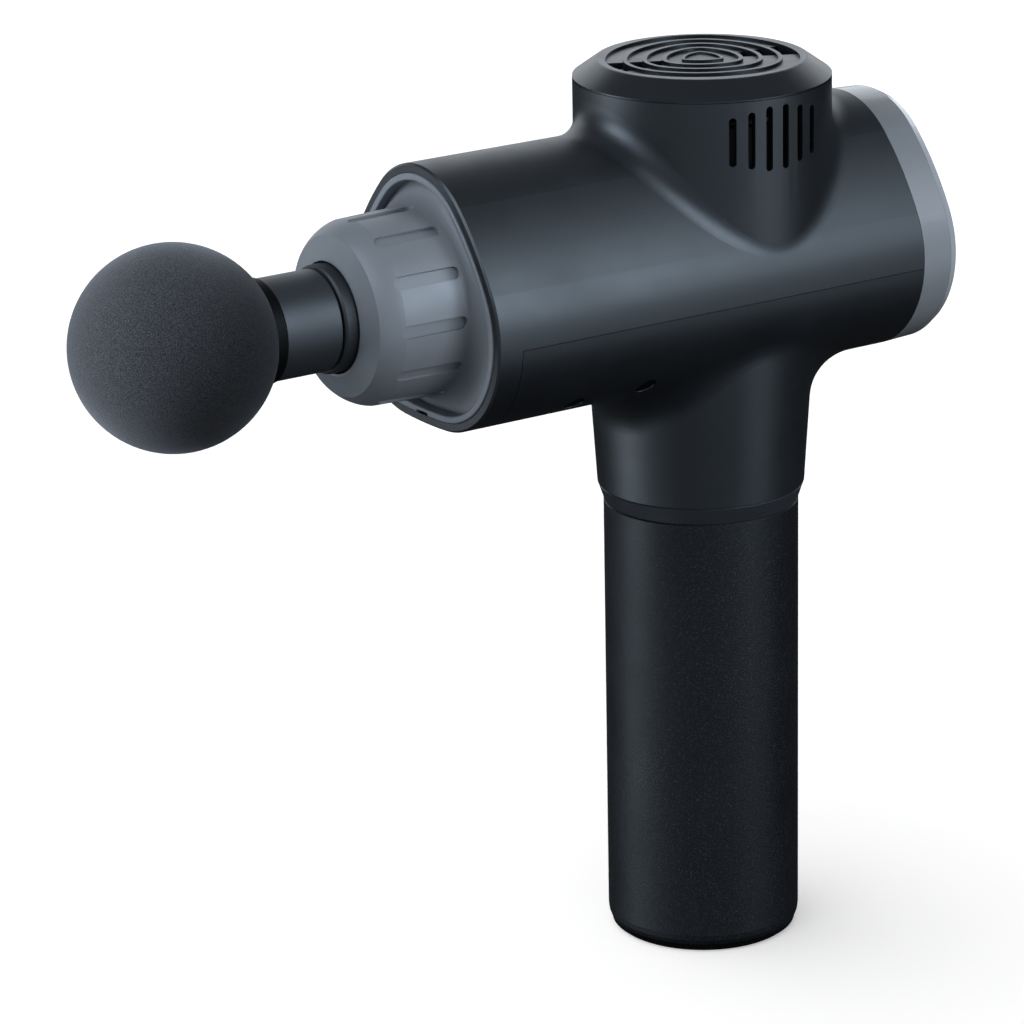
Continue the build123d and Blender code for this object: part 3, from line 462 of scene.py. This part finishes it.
# ---- foam ball, in metres ---------------------------------------------------------------------
NET_STEPS = 7             # each step splits the net's triangles again
RIM_R = 0.0007            # rounding at the edge of the stem's hole
HOLE_GAP = 0.0006         # between the stem and the hole
SOCKET_DEPTH = 0.003      # of the recess that the stem sits in
CORE_R = 0.011            # hollow for the hard core
CORE_NECK_R = 0.008       # bore between the recess and the hollow
PORES = ((1400, 0.00006), (3100, 0.00004))      # noise scale and depth
PORE_FADE = 0.001         # the last stretch before the rim, over which the pores fade out
TINY = 1e-9               # keeps the net's two poles from a division by zero


def stem_radius():
    low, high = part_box("head_stem")
    return (high[2] - low[2]) / 2


def circle_points(middle_x, middle_r, radius, start, end, count=24):
    """Points (x, r) on an arc of the outline, from angle start to end in degrees about its middle."""
    turns = np.radians(np.linspace(start, end, count))
    return [(middle_x + radius * math.cos(a), middle_r + radius * math.sin(a)) for a in turns]


def ball_outline(radius, hole):
    """The foam's half outline: outside, rim, hole, floor, bore and the hollow for the core.

    Returns the points, how far along the outline each one lies, and how far the outside goes."""
    rim_middle = hole + RIM_R
    rim_x = math.sqrt((radius - RIM_R) ** 2 - rim_middle ** 2)
    rim_turn = math.degrees(math.atan2(rim_middle, rim_x))
    outside = circle_points(0, 0, radius, 180, rim_turn, 400)
    rim = circle_points(rim_x, rim_middle, RIM_R, rim_turn, -90)
    floor_x = math.sqrt(radius ** 2 - hole ** 2) - SOCKET_DEPTH
    neck_turn = math.degrees(math.asin(CORE_NECK_R / CORE_R))
    hollow = circle_points(0, 0, CORE_R, neck_turn, 180, 90)
    points = np.array(outside + rim + [(floor_x, hole), (floor_x, CORE_NECK_R)] + hollow)
    steps = np.hypot(*np.diff(points, axis=0).T)
    lengths = np.concatenate([[0], np.cumsum(steps)])
    return points, lengths, lengths[len(outside) - 1]


def unit_net():
    """An even net of triangles on the unit sphere: its mesh and its vertices."""
    net = bmesh.new()
    bmesh.ops.create_icosphere(net, subdivisions=NET_STEPS, radius=1)
    mesh = mesh_from("foam_ball", net)
    unit = np.empty(len(mesh.vertices) * 3)
    mesh.vertices.foreach_get("co", unit)
    return mesh, unit.reshape(-1, 3)


def outline_path(turn, radius, outside, total):
    """How far along the outline each vertex lies, wider and wider apart inside the ball."""
    last = outside / radius
    inwards = np.clip((turn - last) / (math.pi - last), 0, 1)
    even = radius * (math.pi - last)
    inside = outside + even * inwards + (total - outside - even) * inwards ** 3
    return np.where(turn < last, turn * radius, inside)


def pore_depths(places):
    depths = np.zeros(len(places))
    for scale, size in PORES:
        depths += size * np.array([min(noise.noise(Vector(p * scale)), 0) for p in places])
    return depths


def make_ball(paint):
    """The ball as one closed skin: an even net laid along the outline and pitted with pores."""
    low, high = (Vector(c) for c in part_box("massage_ball"))
    radius = (high.z - low.z) / 2
    middle = np.array((low.x + radius, 0, (low.z + high.z) / 2))
    points, lengths, outside = ball_outline(radius, stem_radius() + HOLE_GAP)
    mesh, unit = unit_net()
    turn = np.arccos(np.clip(-unit[:, 0], -1, 1))
    path = outline_path(turn, radius, outside, lengths[-1])
    along = np.interp(path, lengths, points[:, 0])
    around = np.interp(path, lengths, points[:, 1])
    flat = unit[:, 1:] / np.maximum(np.hypot(unit[:, 1], unit[:, 2]), TINY)[:, None]
    places = np.column_stack([along, flat[:, 0] * around, flat[:, 1] * around])
    depths = pore_depths(places) * np.clip((outside - path) / PORE_FADE, 0, 1)
    places += unit * depths[:, None] + middle
    mesh.vertices.foreach_set("co", places.ravel())
    mesh.shade_smooth()
    mesh.materials.append(paint)
    ball = add_object("foam_ball", mesh)
    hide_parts("massage_ball")
    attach(ball, "head")
    return ball


# ---- rubber collar round the stem, partly painted shade of the gap, in metres -----------------
COLLAR_HIDDEN = 0.001     # how far it reaches into the ball
COLLAR_W = 0.0031
COLLAR_SUNK = 0.0002      # below the stem's surface, so that no gap shows
COLLAR_RISE = 0.0004
BEVEL_START = 0.0005      # where the edge's bevel starts and ends, back from the collar's end
BEVEL_END = 0.00015
BEVEL_RISE = 0.00028      # the collar's rise at the bevel's end
COLLAR_SEGMENTS = 180


def make_collar_and_gap_shade(paint):
    """A black rubber ring round the stem at the ball's hole, partly painted shade of the gap between
    ball and stem.
    """
    low, high = (Vector(c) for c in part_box("head_stem"))
    inner = stem_radius()
    start = low.x - COLLAR_HIDDEN
    end = low.x + COLLAR_W
    outline = [(start, inner - COLLAR_SUNK), (start, inner + COLLAR_RISE),
               (end - BEVEL_START, inner + COLLAR_RISE), (end - BEVEL_END, inner + BEVEL_RISE),
               (end, inner - COLLAR_SUNK)]
    ring = bmesh.new()
    loops = []
    for i in range(COLLAR_SEGMENTS):
        a = math.tau * i / COLLAR_SEGMENTS
        loops.append([ring.verts.new((x, r * math.cos(a), r * math.sin(a))) for x, r in outline])
    for i, loop in enumerate(loops):
        after = loops[(i + 1) % len(loops)]
        for j in range(len(outline)):
            k = (j + 1) % len(outline)
            ring.faces.new((loop[j], loop[k], after[k], after[j]))
    bmesh.ops.recalc_face_normals(ring, faces=ring.faces)
    mesh = mesh_from("collar_and_gap_shade", ring)
    mesh.materials.append(paint)
    collar_and_shade = add_object("collar_and_gap_shade", mesh)
    collar_and_shade.location.z = (low.z + high.z) / 2
    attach(collar_and_shade, "head")


PAINTS = make_paints()
paint_nodes(PAINTS)
BALL = make_ball(PAINTS["foam_charcoal"])
# partly painted shade: a near-black ring where the gap round the stem lies in shade
make_collar_and_gap_shade(PAINTS["seal_rubber"])
make_camera()
make_studio(BALL)
